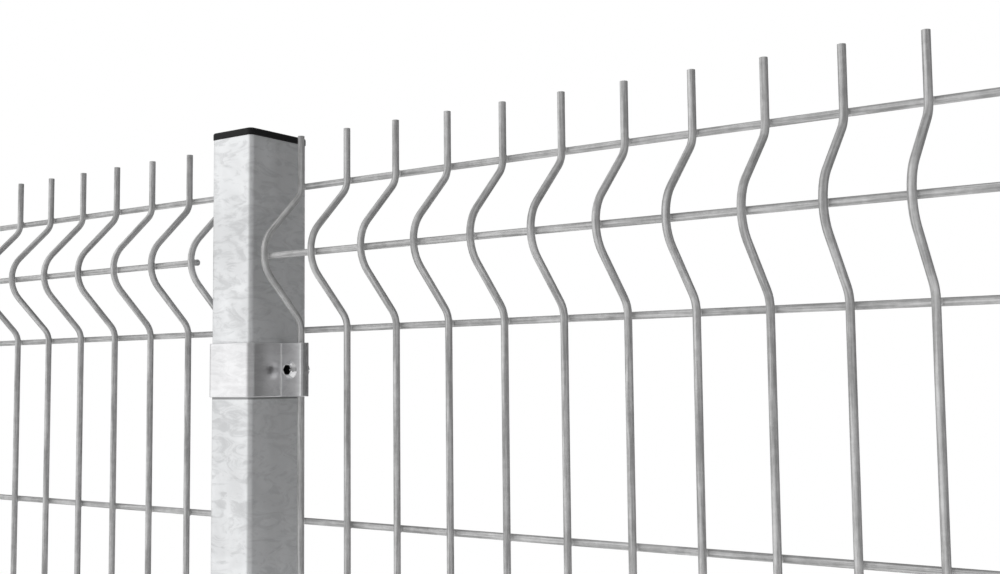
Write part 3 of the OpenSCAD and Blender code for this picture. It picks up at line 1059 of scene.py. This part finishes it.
class FENCE_OT_stage(bpy.types.Operator):
    """Sets up the pale floor, the soft studio light and the camera."""

    bl_idname = "fence.stage"
    bl_label = "Stage"
    floor_reach = (4.5, 3.0)

    def floor(self):
        x, y = self.floor_reach
        data = bpy.data.meshes.new("Floor")
        data.from_pydata([(-x, -y, 0), (x, -y, 0), (x, y, 0), (-x, y, 0)], [], [(0, 1, 2, 3)])
        floor = bpy.data.objects.new("Floor", data)
        bpy.context.scene.collection.objects.link(floor)
        pale = Surface("Pale floor", (0.9, 0.9, 0.9), roughness=0.9, emission_color=(1, 1, 1, 1), emission_strength=0.36)
        data.materials.append(pale.material)

    def room(self, studio):
        """White to the camera; to the metal a grey room with a bright front left and a pale back."""
        world = bpy.data.worlds.new("Studio")
        world.use_nodes = True
        bpy.context.scene.world = world
        maker = Maker(world.node_tree)
        for node in list(world.node_tree.nodes):
            world.node_tree.nodes.remove(node)
        ray = maker.out("ShaderNodeTexCoord", output="Generated")

        def panel(azimuth, height, inner, outer):
            """1 towards a direction and 0 away from it; azimuth runs from the front to the left."""
            level = math.cos(height)
            axis = (-math.sin(azimuth) * level, -math.cos(azimuth) * level, math.sin(height))
            facing = maker.value("ShaderNodeVectorMath", {"operation": "DOT_PRODUCT"}, {0: ray, 1: axis}, "Value")
            return facing.between(math.cos(outer), math.cos(inner))

        soft = math.radians(55)
        key = panel(studio.key_azimuth, studio.key_height, math.radians(20), math.radians(75))
        back = panel(math.radians(165), 0, math.radians(20), soft)
        right = panel(math.radians(-62), 0, math.radians(25), math.radians(65))
        above = panel(0, math.radians(80), math.radians(25), math.radians(70))
        strength = key * studio.key + right * studio.right + above * studio.above
        strength = strength + back * studio.back + studio.fill
        lit = maker.out("ShaderNodeBackground", inputs={"Color": (1, 1, 1, 1), "Strength": strength})
        seen = maker.out("ShaderNodeLightPath", output="Is Camera Ray")
        white = maker.out("ShaderNodeBackground", inputs={"Color": (1, 1, 1, 1), "Strength": 1.0})
        both = maker.out("ShaderNodeMixShader", inputs={0: seen, 1: lit, 2: white})
        maker.add("ShaderNodeOutputWorld", inputs={"Surface": both})

    def camera(self, studio):
        pan, tilt, roll = studio.pan, studio.tilt, studio.roll
        ahead = Vector((-math.sin(pan) * math.cos(tilt), math.cos(pan) * math.cos(tilt), math.sin(tilt)))
        right = Vector((math.cos(pan), math.sin(pan), 0))
        up = right.cross(ahead)
        right_rolled = math.cos(roll) * right + math.sin(roll) * up
        up_rolled = -math.sin(roll) * right + math.cos(roll) * up
        lens = bpy.data.cameras.new("View")
        lens.sensor_fit = "HORIZONTAL"
        lens.sensor_width = 36
        lens.lens = studio.focal * lens.sensor_width
        lens.clip_start = 0.01
        lens.clip_end = 200
        holder = bpy.data.objects.new("View", lens)
        bpy.context.scene.collection.objects.link(holder)
        turn = Matrix((right_rolled, up_rolled, -ahead)).transposed()
        holder.matrix_world = Matrix.Translation(studio.eye) @ turn.to_4x4()
        bpy.context.scene.camera = holder

    def execute(self, context):
        studio = context.scene.fence_studio
        self.floor()
        self.room(studio)
        self.camera(studio)
        scene = context.scene
        scene.view_settings.view_transform = "Standard"
        scene.view_settings.look = "None"
        return {"FINISHED"}


class FENCE_PT_panel(bpy.types.Panel):
    """Sidebar list of the fence's steps and sizes."""

    bl_label = "Mesh fence"
    bl_space_type = "VIEW_3D"
    bl_region_type = "UI"
    bl_category = "Fence"

    def draw(self, context):
        for group in PROPERTY_SLOTS:
            box = self.layout.box()
            owner = getattr(context.scene, group)
            for name in owner.bl_rna.properties.keys():
                if name not in ("rna_type", "name"):
                    box.prop(owner, name)
        for operator in STEPS:
            self.layout.operator(operator.bl_idname)


PROPERTY_SLOTS = {
    "fence_posts": FencePostSizes,
    "fence_mesh": FenceMeshSizes,
    "fence_clamps": FenceClampSizes,
    "fence_finish": FenceFinish,
    "fence_studio": FenceStudio,
}
STEPS = (FENCE_OT_posts, FENCE_OT_caps, FENCE_OT_mesh, FENCE_OT_clamps, FENCE_OT_bolts, FENCE_OT_stage)


def register():
    for group in PROPERTY_SLOTS.values():
        bpy.utils.register_class(group)
    for name, group in PROPERTY_SLOTS.items():
        setattr(bpy.types.Scene, name, bpy.props.PointerProperty(type=group))
    for operator in STEPS:
        bpy.utils.register_class(operator)
    bpy.utils.register_class(FENCE_PT_panel)


def unregister():
    bpy.utils.unregister_class(FENCE_PT_panel)
    for operator in reversed(STEPS):
        bpy.utils.unregister_class(operator)
    for name, group in reversed(PROPERTY_SLOTS.items()):
        delattr(bpy.types.Scene, name)
        bpy.utils.unregister_class(group)


def main():
    register()
    bpy.ops.fence.posts()
    bpy.ops.fence.caps()
    bpy.ops.fence.mesh()
    bpy.ops.fence.clamps()
    bpy.ops.fence.bolts()
    bpy.ops.fence.stage()


if __name__ == "__main__":
    main()
